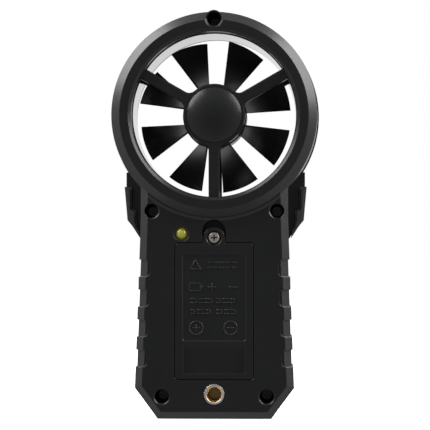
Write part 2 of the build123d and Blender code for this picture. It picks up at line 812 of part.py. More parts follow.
def sensor_ribbon():
    """Flat lead from the sensor board down the lower spoke to the main board."""
    low_y, top_y = board_front_y - ribbon_thick, sensor_board_y - ribbon_thick
    start_z = head_z - sensor_board_r + ribbon_start
    bend_z, land_z = head_z - duct_wall_r - ribbon_bend, board_high_z - ribbon_land_inset
    end_z = land_z - ribbon_land
    line = Polyline((top_y, start_z), (top_y, bend_z), (low_y, land_z), (low_y, end_z))
    edge = Polyline((low_y + ribbon_thick, end_z), (low_y + ribbon_thick, land_z),
                    (top_y + ribbon_thick, bend_z), (top_y + ribbon_thick, start_z))
    joins = Line(line @ 1, edge @ 0) + Line(edge @ 1, line @ 0)
    strip = make_face(line + edge + joins)
    return extrude(Plane.YZ.offset(-ribbon_width / 2) * strip, amount=ribbon_width)


# ---- fasteners, insert and light sensor ----------------------------------------------------------
def case_screws():
    screws = []
    for x, z in screw_places():
        head_y = well_floor_y + screw_head_thick
        screw = rod(screw_head_r, well_floor_y, head_y, x, z)
        screw = fillet(screw.faces().sort_by(Axis.Y)[-1].edges(), radius=screw_head_round)
        screw -= cross_slot(x, z, head_y, screw_head_r)
        screws.append(screw + rod(screw_shank_r, well_floor_y - screw_length, well_floor_y, x, z))
    return Compound(children=screws)


def tripod_insert():
    """Threaded insert whose flange has a knurled edge."""
    step = 180 / insert_teeth
    rim = [insert_flange_r - (insert_tooth if index % 2 else 0.0) for index in range(2 * insert_teeth)]
    points = [(r * cos(radians(i * step)), r * sin(radians(i * step))) for i, r in enumerate(rim)]
    face_y = handle_back_y + insert_proud
    flange = slab(Pos(0, insert_z) * make_face(Polyline(*points, close=True)),
                  face_y - insert_flange_thick, face_y)
    insert = flange + rod(insert_r, handle_back_y - insert_length, face_y - insert_face_drop, z=insert_z)
    insert -= rod(insert_bore_r, handle_back_y - insert_length + insert_floor, face_y + past, z=insert_z)
    return insert - countersink(insert_bore_r, insert_chamfer, face_y, 0.0, insert_z)


def light_sensor():
    dome_y = sensor_base_y + sensor_body
    sensor = rod(sensor_r, sensor_base_y, dome_y, sensor_x, sensor_z)
    sensor += Pos(sensor_x, dome_y, sensor_z) * Sphere(sensor_r)
    sensor += rod(sensor_flange_r, sensor_base_y, sensor_base_y + sensor_flange_thick,
                  sensor_x, sensor_z)
    half = sensor_lead / 2
    for x in (sensor_x - sensor_lead_pitch / 2, sensor_x + sensor_lead_pitch / 2):
        sensor += box(x - half, x + half, board_back_y, sensor_base_y, sensor_z - half, sensor_z + half)
    return sensor


# ---- battery, board and display ------------------------------------------------------------------
def battery():
    middle_y = battery_back_y - battery_depth / 2
    can = Plane.XY.offset(battery_low_z) * Pos(0, middle_y) * RectangleRounded(
        battery_width, battery_depth, battery_round)
    cell = extrude(can, amount=battery_length)
    for x in (-stud_spacing / 2, stud_spacing / 2):
        top_z = battery_low_z + battery_length
        cell += Pos(x, middle_y, top_z + stud_height / 2) * Cylinder(stud_r, stud_height)
    return cell


def battery_snap():
    middle_y = battery_back_y - battery_depth / 2
    low_z = battery_low_z + battery_length
    half_x, half_y = snap_half
    snap = box(-half_x, half_x, middle_y - half_y, middle_y + half_y, low_z, snap_top_z)
    snap = fillet(snap.edges().filter_by(Axis.Z), radius=snap_round)
    for x in (-stud_spacing / 2, stud_spacing / 2):
        deep = stud_height + snap_room
        snap -= Pos(x, middle_y, low_z + deep / 2) * Cylinder(stud_r + snap_room, deep)
    return snap


def battery_leads():
    """Two round leads from the snap, up through the compartment and forward to the board."""
    bend_r = lead_bend_share * (lead_turn_z - snap_top_z)
    leads = []
    for x in (-stud_spacing / 2, stud_spacing / 2):
        route = FilletPolyline((x, lead_y, snap_top_z), (x, lead_y, lead_turn_z),
                               (x, board_back_y, lead_turn_z), radius=bend_r)
        section = Plane(origin=route @ 0, z_dir=route % 0) * Circle(lead_r)
        leads.append(sweep(section, path=route))
    return Compound(children=leads)


def battery_foam():
    middle_z = (panel_low_z + panel_high_z) / 2
    pad = Pos(0, middle_z) * RectangleRounded(foam_size[0], foam_size[1], foam_round)
    return slab(pad, door_inner_y - foam_thick, door_inner_y)


def circuit_board():
    middle_z = (board_low_z + board_high_z) / 2
    board = Pos(0, middle_z) * RectangleRounded(2 * board_half, board_high_z - board_low_z, board_round)
    return slab(board, board_front_y, board_back_y)


def processor_chip():
    x, z = chip_place
    return box(x - chip_size[0] / 2, x + chip_size[0] / 2, board_back_y, board_back_y + chip_size[1],
               z - chip_size[2] / 2, z + chip_size[2] / 2)


def display_window():
    outline = Pos(0, display_z) * RectangleRounded(lens_size[0], lens_size[1], lens_round)
    front = handle_front_y + lens_sink
    return slab(outline, front, front + lens_thick)


def lcd_glass():
    return slab(Pos(0, display_z) * Rectangle(*glass_size), glass_y, glass_y + glass_thick)


def lcd_backlight():
    low_z = display_z - glass_size[1] / 2 + connector_size[1] + backlight_gap
    high_z = display_z + glass_size[1] / 2
    half = glass_size[0] / 2
    return box(-half, half, glass_y + glass_thick, board_front_y, low_z, high_z)


def lcd_connector():
    low_z = display_z - glass_size[1] / 2 + connector_inset
    half = connector_size[0] / 2
    return box(-half, half, glass_y + glass_thick, board_front_y, low_z, low_z + connector_size[1])


def key_cap(x, z):
    """Key whose flange holds it behind the case and whose stem ends above its switch."""
    inner_y = handle_front_y + wall
    outline = Pos(x, z) * RectangleRounded(key_size[0], key_size[1], key_round)
    cap = slab(outline, handle_front_y - key_proud, inner_y + key_flange_gap)
    cap = fillet(cap.faces().sort_by(Axis.Y)[0].edges(), radius=key_edge)
    flange = Pos(x, z) * RectangleRounded(key_size[0] + 2 * key_flange, key_size[1] + 2 * key_flange,
                                          key_round + key_flange)
    cap += slab(flange, inner_y + key_flange_gap, inner_y + key_flange_gap + key_flange_thick)
    stem_end = board_front_y - switch_size[1] - switch_button_high - switch_gap - key_travel
    return cap + rod(key_stem_r, inner_y + key_flange_gap, stem_end, x, z)


def key_switches():
    switches = []
    for z in key_rows:
        for x in key_columns:
            top_y = board_front_y - switch_size[1]
            body = box(x - switch_size[0] / 2, x + switch_size[0] / 2, top_y, board_front_y,
                       z - switch_size[2] / 2, z + switch_size[2] / 2)
            switches.append(body + rod(switch_button_r, top_y - switch_button_high, top_y, x, z))
    return Compound(children=switches)


key_names = ("power_key", "hold_key", "light_key", "mode_key", "units_key", "max_min_key")


def main():
    os.makedirs("parts", exist_ok=True)
    save("rear_cover", rear_cover())
    save("front_cover", front_cover())
    save("shoulder_grip_left", shoulder_grip(-1))
    save("shoulder_grip_right", shoulder_grip(1))
    save("duct_sleeve", duct_sleeve())
    save("rear_hub_cap", hub_cap())
    save("front_hub_cap", front_of(hub_cap()))
    save("rear_bearing", bearing())
    save("front_bearing", front_of(bearing()))
    save("impeller", impeller())
    save("impeller_shaft", rod(shaft_r, -shaft_half, shaft_half, z=head_z))
    save("impeller_magnets", impeller_magnets())
    save("sensor_board", sensor_board())
    save("hall_sensor", hall_sensor())
    save("sensor_ribbon", sensor_ribbon())
    save("battery_door", battery_door())
    save("door_screw", door_screw())
    save("battery_foam", battery_foam())
    save("case_screws", case_screws())
    save("tripod_insert", tripod_insert())
    save("light_sensor", light_sensor())
    save("battery", battery())
    save("battery_snap", battery_snap())
    save("battery_leads", battery_leads())
    save("circuit_board", circuit_board())
    save("processor_chip", processor_chip())
    save("display_window", display_window())
    save("lcd_glass", lcd_glass())
    save("lcd_backlight", lcd_backlight())
    save("lcd_connector", lcd_connector())
    save("key_switches", key_switches())
    places = [(x, z) for z in key_rows for x in key_columns]
    for name, (x, z) in zip(key_names, places):
        save(name, key_cap(x, z))


main()
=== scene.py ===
"""Looks of a hand-held vane anemometer, built around its fixed CAD frame."""

from math import atan2, cos, pi, radians, sin

import bmesh
import bpy
from bpy.props import FloatProperty, FloatVectorProperty, IntProperty, PointerProperty
from mathutils import Matrix, Vector


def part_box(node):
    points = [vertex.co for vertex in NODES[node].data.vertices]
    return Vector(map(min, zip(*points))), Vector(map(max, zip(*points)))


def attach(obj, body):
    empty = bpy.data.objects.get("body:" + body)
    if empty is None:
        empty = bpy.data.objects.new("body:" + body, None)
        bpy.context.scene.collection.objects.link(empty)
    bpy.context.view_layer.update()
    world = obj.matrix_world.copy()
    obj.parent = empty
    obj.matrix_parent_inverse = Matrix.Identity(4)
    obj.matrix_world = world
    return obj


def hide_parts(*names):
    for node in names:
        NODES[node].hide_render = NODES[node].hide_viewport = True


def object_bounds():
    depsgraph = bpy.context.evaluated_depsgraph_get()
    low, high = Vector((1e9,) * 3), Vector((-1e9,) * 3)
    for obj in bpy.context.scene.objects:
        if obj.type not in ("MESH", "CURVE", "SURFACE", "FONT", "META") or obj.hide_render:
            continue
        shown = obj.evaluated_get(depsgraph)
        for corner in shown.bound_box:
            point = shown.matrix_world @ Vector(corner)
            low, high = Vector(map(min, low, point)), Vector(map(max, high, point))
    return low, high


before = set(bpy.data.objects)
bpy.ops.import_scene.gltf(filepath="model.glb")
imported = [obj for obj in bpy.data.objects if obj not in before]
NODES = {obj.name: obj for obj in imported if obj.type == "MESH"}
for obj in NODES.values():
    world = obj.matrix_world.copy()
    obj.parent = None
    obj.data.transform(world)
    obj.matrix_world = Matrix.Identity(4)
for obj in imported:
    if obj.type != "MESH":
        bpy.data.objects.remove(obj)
CAD_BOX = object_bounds()

bl_info = {
    "name": "Vane Anemometer",
    "version": (1, 0, 0),
    "blender": (4, 5, 0),
    "location": "3D View > Sidebar > Anemometer",
    "description": "Gives a hand-held vane anemometer its impeller, markings, finishes and studio",
    "category": "Object",
}

MM = 0.001
STROKE_BEVEL = 0.45      # bevel of a raised stroke, as a share of its rise


# ---- places read from the frame ----------------------------------------------------------------
def box_middle(node):
    low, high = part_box(node)
    return (low + high) / 2


def mm(*values):
    """Values given in millimetres, in the frame's metres."""
    return [value * MM for value in values]


DUCT_AXIS = box_middle("duct_sleeve")
DOOR_LOW, DOOR_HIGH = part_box("battery_door")
SPIN_BODY = "impeller"
DOOR_BODY = "battery_door"
CASE_BODY = "case"
KEY_NAMES = ("power_key", "hold_key", "light_key", "mode_key", "units_key", "max_min_key")


# ---- settings a user would change --------------------------------------------------------------
def colour(name, description, default):
    return FloatVectorProperty(name=name, description=description, default=default, size=3,
                               min=0.0, max=1.0, subtype="COLOR")


def length(name, description, default):
    return FloatProperty(name=name, description=description, default=default, min=0.0,
                         unit="LENGTH", precision=5)


class CaseSettings(bpy.types.PropertyGroup):
    plastic: colour("Case plastic", "Colour of the moulded case", (0.0130, 0.0136, 0.0150))
    roughness: FloatProperty(name="Case roughness", description="Roughness of the moulded case",
                             default=0.33, min=0.0, max=1.0, subtype="FACTOR")
    grain_size: length("Grain size", "Width of one grain of the moulded texture", 0.45 * MM)
    grain_depth: length("Grain depth", "Depth of the moulded texture", 0.012 * MM)
    edge: length("Edge radius", "Radius of the moulded edges", 0.45 * MM)
    rubber: colour("Grip rubber", "Colour of the shoulder pads", (0.060, 0.061, 0.063))
    sleeve: colour("Duct liner", "Colour of the polished duct liner", (0.006, 0.006, 0.007))


class ImpellerSettings(bpy.types.PropertyGroup):
    plastic: colour("Blade plastic", "Colour of the impeller", (0.0170, 0.0172, 0.0195))
    blades: IntProperty(name="Blades", description="Number of blades", default=8, min=2, max=16)
    first_angle: FloatProperty(name="First blade", description="Angle of the first blade from +X",
                               default=radians(24.6), subtype="ANGLE", unit="ROTATION")
    root_half: length("Blade root", "Half width of a blade at the hub", 1.85 * MM)
    tip_half: length("Blade tip", "Half width of a blade at its tip", 7.55 * MM)
    axial: length("Blade depth", "Depth of the blades along the shaft", 11.0 * MM)
    thickness: length("Blade thickness", "Thickness of a blade", 0.8 * MM)


class MetalSettings(bpy.types.PropertyGroup):
    nickel: colour("Nickel", "Colour of the plated screw and flange", (0.95, 0.86, 0.78))
    # Colour of the painted shade, tinted copper-brown, inside a screw's cross recess.
    screw_recess_shade: colour("Screw recess shade", "Colour of the plating in a screw's recess", (0.16, 0.07, 0.035))
    brass: colour("Brass", "Colour of the bare thread", (0.86, 0.62, 0.30))
    # Colour of the painted shade at the bottom of the tripod bore.
    bore_shade: colour("Bore shade", "Colour of the brass at the bottom of the bore", (0.34, 0.22, 0.09))
    thread_pitch: length("Thread pitch", "Pitch of the tripod thread", 1.27 * MM)


class StudioSettings(bpy.types.PropertyGroup):
    distance: length("Camera distance", "Distance from the back face to the camera", 0.790)
    view_width: length("View width", "Width of the view at the back face", 0.1721)
    softbox: FloatProperty(name="Softbox power", description="Power of each softbox in watts",
                           default=11.5, min=0.0, unit="POWER")
    surround: FloatProperty(name="Surround", description="Strength of the white behind the object",
                            default=1.0, min=0.0)
    fill: FloatProperty(name="Fill", description="Strength of the light on the battery side",
                        default=0.22, min=0.0)


# ---- bmesh helpers -----------------------------------------------------------------------------
def finish_mesh(bm, name, material, body, smooth_angle=40.0):
    """Makes a piece of a bmesh in its place in the frame, and lets it ride on a body."""
    bmesh.ops.remove_doubles(bm, verts=bm.verts, dist=1e-7)
    bmesh.ops.recalc_face_normals(bm, faces=bm.faces)
    for edge in bm.edges:
        edge.smooth = len(edge.link_faces) == 2 and edge.calc_face_angle() < radians(smooth_angle)
    for face in bm.faces:
        face.smooth = True
    mesh = bpy.data.meshes.new(name)
    bm.to_mesh(mesh)
    bm.free()
    piece = bpy.data.objects.new(name, mesh)
    bpy.context.scene.collection.objects.link(piece)
    mesh.materials.append(material)
    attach(piece, body)
    return piece


def arc_points(centre, first, last, radius, steps):
    """Points of an arc about a centre, from one direction to another, given in degrees."""
    turns = [radians(first + (last - first) * step / steps) for step in range(steps + 1)]
    return [(centre[0] + radius * cos(turn), centre[1] + radius * sin(turn)) for turn in turns]


def chain(bm, points):
    """Open chain of edges through some points."""
    verts = [bm.verts.new(p) for p in points]
    for first, second in zip(verts, verts[1:]):
        bm.edges.new((first, second))
    return verts


def lathe(bm, profile, centre, steps=96):
    """Full turn of a profile of (radius, depth) points about an axis along Y."""
    verts = chain(bm, [Vector((r, y, 0.0)) for r, y in profile])
    edges = list({e for v in verts for e in v.link_edges})
    bmesh.ops.spin(bm, geom=verts + edges, cent=(0, 0, 0), axis=(0, 1, 0), angle=2 * pi,
                   steps=steps, use_merge=True)
    bmesh.ops.translate(bm, verts=bm.verts, vec=(centre.x, 0.0, centre.z))


def raise_faces(bm, faces, rise, bevel):
    """Raises flat faces by a depth along Y into closed shells, and bevels their outer edges."""
    grown = bmesh.ops.extrude_face_region(bm, geom=faces)["geom"]
    top = {item for item in grown if isinstance(item, bmesh.types.BMVert)}
    bmesh.ops.translate(bm, verts=list(top), vec=(0, rise, 0))
    rim = [edge for edge in bm.edges if all(v in top for v in edge.verts)
           and edge.calc_face_angle(0.0) > radians(30)]
    bmesh.ops.bevel(bm, geom=rim, offset=bevel, segments=2, affect="EDGES", profile=0.5, material=-1)


def raised_bar(bm, start, end, width, face_y, rise):
    """Straight stroke between two (x, z) points, raised from a face at some depth."""
    along = Vector((end[0] - start[0], 0, end[1] - start[1]))
    middle = Vector(((start[0] + end[0]) / 2, face_y + rise / 2, (start[1] + end[1]) / 2))
    turn = Matrix.Rotation(-atan2(along.z, along.x), 4, "Y")
    shape = Matrix.Diagonal((along.length + width, abs(rise), width, 1))
    made = bmesh.ops.create_cube(bm, size=1.0, matrix=Matrix.Translation(middle) @ turn @ shape)
    outer = [v for v in made["verts"] if abs(v.co.y - face_y - rise) < abs(rise) / 4]
    rim = list({e for v in outer for e in v.link_edges if all(w in outer for w in e.verts)})
    bmesh.ops.bevel(bm, geom=rim, offset=abs(rise) * STROKE_BEVEL, segments=2, affect="EDGES",
                    profile=0.5, material=-1)


def raised_ring(bm, centre, radius, width, face_y, rise, arc=2 * pi, first=0.0):
    """Round stroke about an (x, z) point: a full ring, or an open arc with closed ends."""
    edge = abs(rise) * STROKE_BEVEL
    outer_y = face_y + rise
    shoulder_y = outer_y - (edge if rise > 0 else -edge)
    low_r, high_r = radius - width / 2, radius + width / 2
    loop = [(low_r, face_y), (low_r, shoulder_y), (low_r + edge, outer_y),
            (high_r - edge, outer_y), (high_r, shoulder_y), (high_r, face_y)]
    verts = [bm.verts.new((r * cos(first), y, r * sin(first))) for r, y in loop]
    edges = [bm.edges.new((verts[i - 1], verts[i])) for i in range(len(verts))]
    full = arc >= 2 * pi
    before = set(bm.verts) - set(verts)
    bmesh.ops.spin(bm, geom=verts + edges, cent=(0, 0, 0), axis=(0, 1, 0), angle=-arc,
                   steps=max(8, int(arc * 8)), use_merge=full)
    made = [v for v in bm.verts if v not in before]
    if not full:
        ends = list({e for v in made for e in v.link_edges if e.is_boundary})
        bmesh.ops.holes_fill(bm, edges=ends, sides=0)
    bmesh.ops.translate(bm, verts=made, vec=(centre[0], 0, centre[1]))


def raised_outline(bm, corners, width, face_y, rise):
    """Closed stroke along the sides of a polygon of (x, z) corners."""
    for start, end in zip(corners, corners[1:] + corners[:1]):
        raised_bar(bm, start, end, width, face_y, rise)


def raised_patch(bm, corners, face_y, rise):
    """Solid patch with (x, z) corners, raised from a face at some depth."""
    face = bm.faces.new([bm.verts.new((x, face_y, z)) for x, z in corners])
    raise_faces(bm, [face], rise, abs(rise) * 0.35)


# ---- material helpers --------------------------------------------------------------------------
def new_material(name):
    """Material with a Principled shader; gives the material and its shader node."""
    material = bpy.data.materials.new(name)
    material.use_nodes = True
    tree = material.node_tree
    tree.nodes.clear()
    output = tree.nodes.new("ShaderNodeOutputMaterial")
    shader = tree.nodes.new("ShaderNodeBsdfPrincipled")
    tree.links.new(shader.outputs["BSDF"], output.inputs["Surface"])
    return material, shader


def node(tree, kind, **values):
    """Node with some of its inputs or settings given."""
    made = tree.nodes.new(kind)
    for key, value in values.items():
        label = key.replace("_", " ").title()
        if label in made.inputs:
            made.inputs[label].default_value = value
        else:
            setattr(made, key, value)
    return made


def group_tree(name, inputs, outputs):
    """Empty shader node group with named float or colour sockets."""
    tree = bpy.data.node_groups.new(name, "ShaderNodeTree")
    for label, kind, default in inputs:
        socket = tree.interface.new_socket(label, in_out="INPUT", socket_type=kind)
        socket.default_value = default
    for label, kind in outputs:
        tree.interface.new_socket(label, in_out="OUTPUT", socket_type=kind)
    return tree, tree.nodes.new("NodeGroupInput"), tree.nodes.new("NodeGroupOutput")


def moulded_grain_group():
    """Spark-eroded mould texture: fine pits with a slow change of colour and gloss."""
    name = "moulded_grain"
    if name in bpy.data.node_groups:
        return bpy.data.node_groups[name]
    tree, given, result = group_tree(
        name,
        [("Color", "NodeSocketColor", (0.02, 0.02, 0.02, 1.0)),
         ("Roughness", "NodeSocketFloat", 0.45),
         ("Grains", "NodeSocketFloat", 2200.0),
         ("Depth", "NodeSocketFloat", 0.00001),
         ("Mottle", "NodeSocketFloat", 0.12)],
        [("Color", "NodeSocketColor"), ("Roughness", "NodeSocketFloat"), ("Height", "NodeSocketFloat")])
    place = tree.nodes.new("ShaderNodeTexCoord")
    fine = node(tree, "ShaderNodeTexNoise", detail=2.0, roughness=0.6)
    slow = node(tree, "ShaderNodeTexNoise", scale=60.0, detail=3.0, roughness=0.55)
    for texture in (fine, slow):
        tree.links.new(place.outputs["Object"], texture.inputs["Vector"])
    tree.links.new(given.outputs["Grains"], fine.inputs["Scale"])
    height = node(tree, "ShaderNodeMath", operation="MULTIPLY")
    tree.links.new(fine.outputs["Fac"], height.inputs[0])
    tree.links.new(given.outputs["Depth"], height.inputs[1])
    tree.links.new(height.outputs[0], result.inputs["Height"])

    both = node(tree, "ShaderNodeMath", operation="ADD")
    tree.links.new(fine.outputs["Fac"], both.inputs[0])
    tree.links.new(slow.outputs["Fac"], both.inputs[1])
    spread = node(tree, "ShaderNodeMath", operation="SUBTRACT")
    tree.links.new(both.outputs[0], spread.inputs[0])
    spread.inputs[1].default_value = 1.0
    amount = node(tree, "ShaderNodeMath", operation="MULTIPLY")
    tree.links.new(spread.outputs[0], amount.inputs[0])
    tree.links.new(given.outputs["Mottle"], amount.inputs[1])

    shade = node(tree, "ShaderNodeMath", operation="MULTIPLY_ADD")
    tree.links.new(amount.outputs[0], shade.inputs[0])
    shade.inputs[1].default_value = 3.0
    shade.inputs[2].default_value = 1.0
    tint = node(tree, "ShaderNodeVectorMath", operation="SCALE")
    tree.links.new(given.outputs["Color"], tint.inputs[0])
    tree.links.new(shade.outputs[0], tint.inputs["Scale"])
    tree.links.new(tint.outputs[0], result.inputs["Color"])

    gloss = node(tree, "ShaderNodeMath", operation="ADD")
    gloss.use_clamp = True
    tree.links.new(given.outputs["Roughness"], gloss.inputs[0])
    tree.links.new(amount.outputs[0], gloss.inputs[1])
    tree.links.new(gloss.outputs[0], result.inputs["Roughness"])
    return tree


def grained(name, base, roughness, grain_size, grain_depth, mottle=0.12, edge=0.0, **shader_values):
    """Material with the moulded grain; edge rounds sharp edges by that radius in the shading."""
    material, shader = new_material(name)
    tree = material.node_tree
    grain = tree.nodes.new("ShaderNodeGroup")
    grain.node_tree = moulded_grain_group()
    grain.inputs["Color"].default_value = (*base, 1.0)
    grain.inputs["Roughness"].default_value = roughness
    grain.inputs["Grains"].default_value = 1.0 / grain_size
    grain.inputs["Depth"].default_value = grain_depth
    grain.inputs["Mottle"].default_value = mottle
    bump = node(tree, "ShaderNodeBump", strength=1.0, distance=1.0)
    tree.links.new(grain.outputs["Color"], shader.inputs["Base Color"])
    tree.links.new(grain.outputs["Roughness"], shader.inputs["Roughness"])
    tree.links.new(grain.outputs["Height"], bump.inputs["Height"])
    tree.links.new(bump.outputs["Normal"], shader.inputs["Normal"])
    if edge:
        rounding = node(tree, "ShaderNodeBevel", radius=edge)
        rounding.samples = 6
        tree.links.new(rounding.outputs["Normal"], bump.inputs["Normal"])
    for label, value in shader_values.items():
        shader.inputs[label.replace("_", " ")].default_value = value
    return material


def metal(name, base, roughness, grain_size):
    """Plated or turned metal with fine marks."""
    return grained(name, base, roughness, grain_size, 0.003 * MM, mottle=0.10, edge=0.12 * MM,
                   Metallic=1.0)


def paint_recess_shade(material, face_y, depth, bottom, painted_shade_colour):
    """Darkens a metal with painted shade from under a face that looks towards +Y down to the bottom of
    its recess.
    """
    tree = material.node_tree
    shader = next(n for n in tree.nodes if n.type == "BSDF_PRINCIPLED")
    clean = shader.inputs["Base Color"].links[0].from_socket
    place = tree.nodes.new("ShaderNodeTexCoord")
    split = tree.nodes.new("ShaderNodeSeparateXYZ")
    tree.links.new(place.outputs["Object"], split.inputs[0])
    plain = node(tree, "ShaderNodeMath", operation="MAXIMUM")
    above = (face_y - depth, face_y - depth / 4)
    under = (face_y - bottom, face_y - bottom - depth / 4)
    for slot, (dark_y, clean_y) in enumerate((above, under)):
        fade = tree.nodes.new("ShaderNodeMapRange")
        fade.inputs["From Min"].default_value = dark_y
        fade.inputs["From Max"].default_value = clean_y
        tree.links.new(split.outputs["Y"], fade.inputs["Value"])
        tree.links.new(fade.outputs["Result"], plain.inputs[slot])
    mix = node(tree, "ShaderNodeMix", data_type="RGBA")
    mix.inputs[6].default_value = (*painted_shade_colour, 1.0)
    tree.links.new(plain.outputs[0], mix.inputs[0])
    tree.links.new(clean, mix.inputs[7])
    tree.links.new(mix.outputs[2], shader.inputs["Base Color"])


def paint(material, *names):
    """Gives CAD nodes a finish in place of their plain one."""
    for name in names:
        mesh = NODES[name].data
        mesh.materials.clear()
        mesh.materials.append(material)


# ---- operators ---------------------------------------------------------------------------------
class ANEMOMETER_OT_case(bpy.types.Operator):
    """Finish of the two case halves, the hub caps, the battery door and the duct liner"""
    bl_idname = "anemometer.case"
    bl_label = "Case"

    def execute(self, context):
        given = context.scene.anemometer_case
        black = grained("case_black", given.plastic, given.roughness, given.grain_size,
                        given.grain_depth, edge=given.edge)
        paint(black, "rear_cover", "front_cover", "battery_door")
        cap = grained("cap_black", given.plastic, given.roughness - 0.06, given.grain_size,
                      given.grain_depth / 4, edge=given.edge)
        paint(cap, "rear_hub_cap", "front_hub_cap")
        rubber = grained("grip_rubber", given.rubber, 0.55, 0.3 * MM, 0.02 * MM, edge=0.25 * MM)
        paint(rubber, "shoulder_grip_left", "shoulder_grip_right")
        gloss = grained("duct_gloss", given.sleeve, 0.06, 3.0 * MM, 0.002 * MM, mottle=0.03,
                        Coat_Weight=1.0, Coat_Roughness=0.03, Coat_IOR=2.2)
        paint(gloss, "duct_sleeve")
        return {"FINISHED"}


class ANEMOMETER_OT_impeller(bpy.types.Operator):
    """Impeller with a lathed hub and helical blades"""
    bl_idname = "anemometer.impeller"
    bl_label = "Impeller"

    hub_r = 13.0 * MM
    root_sink = 0.4 * MM        # how far a blade's root reaches into the hub
    shaft_hole_r = 0.75 * MM
    boss_r = 3.2 * MM
    dish_r = (3.6 * MM, 10.8 * MM)
    dish_depth = 0.9 * MM
    lip_r = 11.4 * MM
    rim_round = 0.8 * MM

    def execute(self, context):
        given = context.scene.anemometer_impeller
        low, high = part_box("impeller")
        tip_r = (high.z - low.z) / 2
        black = grained("blade_black", given.plastic, 0.34, 0.6 * MM, 0.004 * MM, mottle=0.06)
        bm = bmesh.new()
        for index in range(given.blades):
            angle = given.first_angle + index * 2 * pi / given.blades
            self.add_blade(bm, given, self.hub_r - self.root_sink, tip_r, angle)
        self.add_hub(bm, (high.y - low.y) / 2)
        bmesh.ops.translate(bm, verts=bm.verts, vec=(DUCT_AXIS.x, 0, DUCT_AXIS.z))
        impeller = finish_mesh(bm, "impeller_rotor", black, SPIN_BODY)
        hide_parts("impeller")
        return {"FINISHED"}

    def add_blade(self, bm, given, root_r, tip_r, angle):
        """One blade: a grid bent into a screw surface that widens to its tip, then thickened."""
        verts = bmesh.ops.create_grid(bm, x_segments=10, y_segments=12, size=1.0)["verts"]
        for vert in verts:
            reach, across = (vert.co.x + 1) / 2, vert.co.y
            r = root_r + (tip_r - root_r) * reach
            half = given.root_half + (given.tip_half - given.root_half) * reach
            turn = angle - across * half / r
            vert.co = Vector((r * cos(turn), across * given.axial / 2, r * sin(turn)))
        faces = list({face for vert in verts for face in vert.link_faces})
        bmesh.ops.recalc_face_normals(bm, faces=faces)
        bmesh.ops.solidify(bm, geom=faces, thickness=given.thickness)

    def add_hub(self, bm, half):
        """Hub with a dished ring in both faces, lathed apart and then added."""
        dish_y = half - self.dish_depth
        rim = arc_points((self.hub_r - self.rim_round, half - self.rim_round), 90, 0, self.rim_round, 4)
        back = [(self.shaft_hole_r, half), (self.boss_r, half), (self.dish_r[0], dish_y),
                (self.dish_r[1], dish_y), (self.lip_r, half), *rim]
        profile = back + [(r, -y) for r, y in reversed(back)]
        part = bmesh.new()
        lathe(part, profile + [profile[0]], Vector((0, 0, 0)))
        mesh = bpy.data.meshes.new("hub")
        part.to_mesh(mesh)
        part.free()
        bm.from_mesh(mesh)
        bpy.data.meshes.remove(mesh)


class ANEMOMETER_OT_fittings(bpy.types.Operator):
    """Finish of the screws, bearings, shaft and magnets"""
    bl_idname = "anemometer.fittings"
    bl_label = "Fittings"

    cross_depth = 1.0 * MM
    shade_fade = 0.5 * MM

    def execute(self, context):
        given = context.scene.anemometer_metal
        nickel = metal("screw_nickel", given.nickel, 0.32, 0.4 * MM)
        head_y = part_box("door_screw")[1].y
        # Painted shade: the nickel darkens to copper-brown inside the cross recess of the door screw.
        paint_recess_shade(nickel, head_y, self.shade_fade, self.cross_depth, given.screw_recess_shade)
        paint(nickel, "door_screw", "impeller_magnets")
        dark = metal("screw_steel", (0.10, 0.10, 0.11), 0.38, 0.4 * MM)
        paint(dark, "case_screws")
        steel = metal("bearing_steel", (0.62, 0.62, 0.63), 0.22, 0.4 * MM)
        paint(steel, "rear_bearing", "front_bearing", "impeller_shaft")
        return {"FINISHED"}


